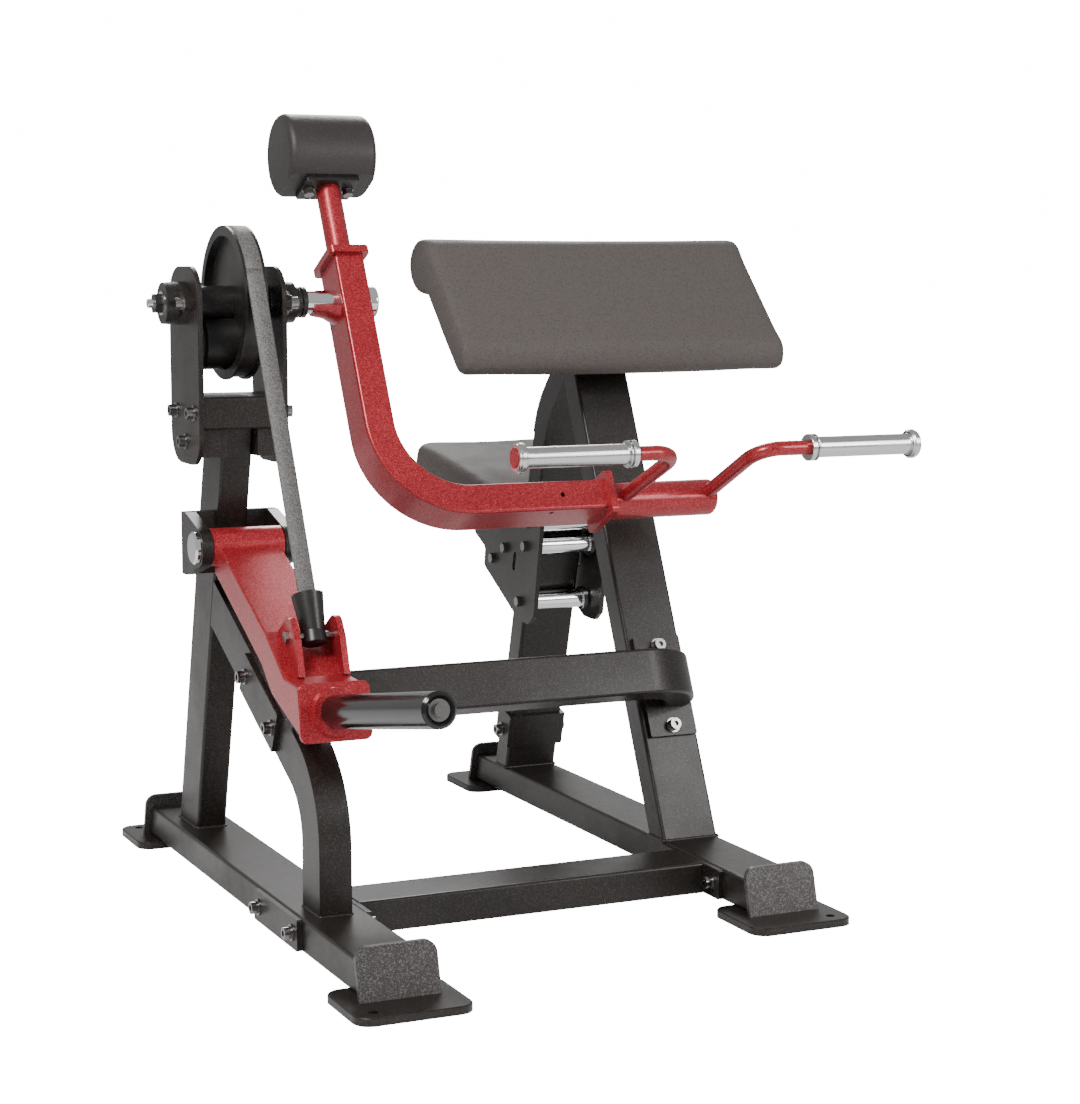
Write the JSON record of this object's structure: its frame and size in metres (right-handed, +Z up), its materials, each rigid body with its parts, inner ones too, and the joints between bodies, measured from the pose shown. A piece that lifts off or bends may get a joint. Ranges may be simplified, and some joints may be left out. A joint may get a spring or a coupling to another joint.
{
  "type": "arm curl machine",
  "caption": "Plate-loaded arm curl machine: a swing arm with two grips turns a wheel whose belt lifts a weight lever, beside a sloping arm pad and a sliding seat.",
  "frame": {"origin": "on the floor, under the middle of the whole machine's box", "axes": "+X from the weight lever's side to the seat's side, +Y from the weight horn towards the seat, +Z up"},
  "size_m": [1.2, 1.5054, 1.2484],
  "materials": {
    "frame_coat": "satin powder coat",
    "kick_coat": "hammered powder coat",
    "red_coat": "metallic textured powder coat",
    "red_plug": "gloss",
    "vinyl": "matte vinyl",
    "board": "painted plywood",
    "chrome": "polished",
    "horn_black": "gloss black",
    "zinc": "zinc plated",
    "grip_metal": "knurled",
    "black_cast": "satin black",
    "weight_case": "matte",
    "belt": "fibre reinforced belt",
    "rest_rubber": "matte",
    "knob_plastic": "gloss"
  },
  "bodies": {
    "frame": {"base_rails": "frame_coat", "foot_plates": "frame_coat", "kick_plates": "kick_coat", "lower_cross_tube": "frame_coat", "cross_tube_plates": "frame_coat", "left_upright": "frame_coat", "front_leg": "frame_coat", "tower_cross_box": "frame_coat", "tower_side_blocks": "frame_coat", "bearing_plates": "frame_coat", "shaft_bearings": "frame_coat", "lever_bracket": "frame_coat", "lever_pin": "chrome", "lever_rest_block": "rest_rubber", "front_post": "frame_coat", "rear_post": "frame_coat", "rear_post_head": "frame_coat", "post_foot_collar": "frame_coat", "upper_cross_tube": "frame_coat", "arm_pad_bracket": "frame_coat", "arm_pad_board": "board", "arm_pad": "vinyl", "frame_washers": "zinc", "frame_screws": "zinc"},
    "arm": {"main_shaft": "chrome", "shaft_collars": "black_cast", "shaft_end_cap": "chrome", "belt_wheel": "black_cast", "wheel_stop_drum": "black_cast", "belt_wrap": "belt", "arm_tube": "red_coat", "arm_shaft_boss": "red_coat", "arm_plates": "red_coat", "arm_neck": "red_coat", "counterweight": "weight_case", "counterweight_plate": "black_cast", "counterweight_bolts": "zinc", "handle_tube": "red_coat", "handle_bars": "red_coat", "grips": "grip_metal", "grip_end_plugs": "red_plug"},
    "lever": {"lever_box": "red_coat", "lever_tube": "red_coat", "clevis_ears": "red_coat", "horn_plate": "red_coat", "weight_horn": "horn_black", "lever_fasteners": "zinc"},
    "belt_clevis": {"belt_sleeve": "black_cast", "belt_span": "belt"},
    "carriage": {"carriage_side_plates": "frame_coat", "carriage_bolts": "zinc", "clamp_cross_block": "frame_coat", "seat_bracket": "frame_coat", "seat_board": "board", "seat_cushion": "vinyl"},
    "roller_low": {"front_roller_low": "chrome"},
    "roller_mid": {"front_roller_mid": "chrome"},
    "roller_top": {"front_roller_top": "chrome"},
    "roller_rear": {"rear_roller": "chrome"},
    "knob": {"clamp_knob": "knob_plastic"}
  },
  "joints": [
    {"name": "arm_swing", "type": "hinge", "parent": "frame", "child": "arm", "pos_m": [-0.459, 0.13812, 0.942], "axis": [-1, 0, 0], "range_deg": [0, 100]},
    {"name": "lever_lift", "type": "hinge", "parent": "frame", "child": "lever", "pos_m": [-0.469, 0.06812, 0.561], "axis": [-1, 0, 0], "range_deg": [0, 45]},
    {"name": "belt_tilt", "type": "hinge", "parent": "lever", "child": "belt_clevis", "pos_m": [-0.459, -0.22988, 0.458], "axis": [1, 0, 0], "range_deg": [0, 32], "deforming": ["belt_span"]},
    {"name": "seat_slide", "type": "slide", "parent": "frame", "child": "carriage", "axis": [0, -0.2656, 0.9641], "range_m": [-0.08, 0.12]},
    {"name": "knob_turn", "type": "hinge", "parent": "carriage", "child": "knob", "pos_m": [0.226, 0.47343, 0.44791], "axis": [0, 0.9641, 0.2656], "continuous": true},
    {"name": "spin_low", "type": "hinge", "parent": "carriage", "child": "roller_low", "pos_m": [0.226, 0.39803, 0.39291], "axis": [1, 0, 0], "continuous": true},
    {"name": "spin_mid", "type": "hinge", "parent": "carriage", "child": "roller_mid", "pos_m": [0.226, 0.36935, 0.49703], "axis": [1, 0, 0], "continuous": true},
    {"name": "spin_top", "type": "hinge", "parent": "carriage", "child": "roller_top", "pos_m": [0.226, 0.3574, 0.54042], "axis": [1, 0, 0], "continuous": true},
    {"name": "spin_rear", "type": "hinge", "parent": "carriage", "child": "roller_rear", "pos_m": [0.226, 0.46047, 0.48479], "axis": [1, 0, 0], "continuous": true}
  ],
  "couplings": [
    {"joint": "lever_lift", "follows": "arm_swing", "ratio": 0.446},
    {"joint": "belt_tilt", "follows": "arm_swing", "ratio": 0.312}
  ]
}
